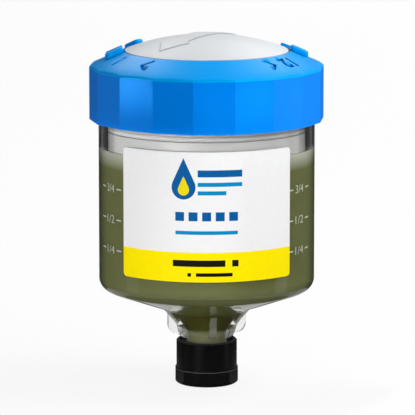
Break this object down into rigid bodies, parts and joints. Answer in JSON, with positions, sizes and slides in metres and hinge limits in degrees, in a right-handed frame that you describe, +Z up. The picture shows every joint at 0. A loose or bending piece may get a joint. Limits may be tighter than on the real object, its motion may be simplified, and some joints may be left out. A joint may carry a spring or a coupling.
{
  "type": "automatic lubricator",
  "caption": "Clear grease reservoir with a flared threaded outlet and closure cap, under a faceted drive bonnet with ribs, month scale and a domed setting dial with pointer.",
  "frame": {"origin": "centre of the closure cap's bottom face, on the axis of the reservoir", "axes": "+Z up along the reservoir's axis; the label faces -Y, and +X is to the right of someone who looks at the label"},
  "size_m": [0.0584, 0.0582, 0.0886],
  "materials": {
    "clear_plastic": "clear moulded, polished",
    "grease": "olive grease, soft sheen",
    "label_film": "printed film, yellow band below",
    "blue_plastic": "moulded, satin gloss",
    "cap_plastic": "moulded black, satin",
    "dial_plastic": "moulded light grey, smooth",
    "piston_plastic": "natural white",
    "housing_plastic": "moulded dark grey",
    "black_rubber": "matt",
    "white_rubber": "natural silicone",
    "cell_steel": "nickel-plated",
    "spring_brass": "stamped strip",
    "board_laminate": "lacquered"
  },
  "bodies": {
    "casing": {"reservoir": "clear_plastic", "label": "label_film", "grease_charge": "grease", "grease_sump": "grease", "drive_housing": "housing_plastic", "housing_seal": "black_rubber", "gas_cell": "cell_steel", "gas_cell_seal": "black_rubber", "battery_left": "cell_steel", "battery_right": "cell_steel", "contact_strap": "spring_brass", "circuit_board": "board_laminate", "control_chip": "cap_plastic", "board_screws": "cell_steel", "bonnet": "blue_plastic"},
    "follower": {"piston": "piston_plastic", "piston_seal": "white_rubber"},
    "dial": {"dial_dome": "dial_plastic", "dial_seal": "black_rubber", "dial_retainer": "cell_steel", "selector_wiper": "cap_plastic", "wiper_contact": "spring_brass"},
    "closure": {"closure_cap": "cap_plastic", "closure_seal": "black_rubber"}
  },
  "joints": [
    {"name": "dial_turn", "type": "hinge", "parent": "casing", "child": "dial", "pos_m": [0, 0, 0.0825], "axis": [0, 0, -1], "range_deg": [0, 259]},
    {"name": "piston_travel", "type": "slide", "parent": "casing", "child": "follower", "axis": [0, 0, -1], "range_m": [0, 0.031], "deforming": ["grease_charge"]},
    {"name": "closure_off", "type": "slide", "parent": "casing", "child": "closure", "axis": [0, 0, -1], "range_m": [0, 0.03]}
  ]
}
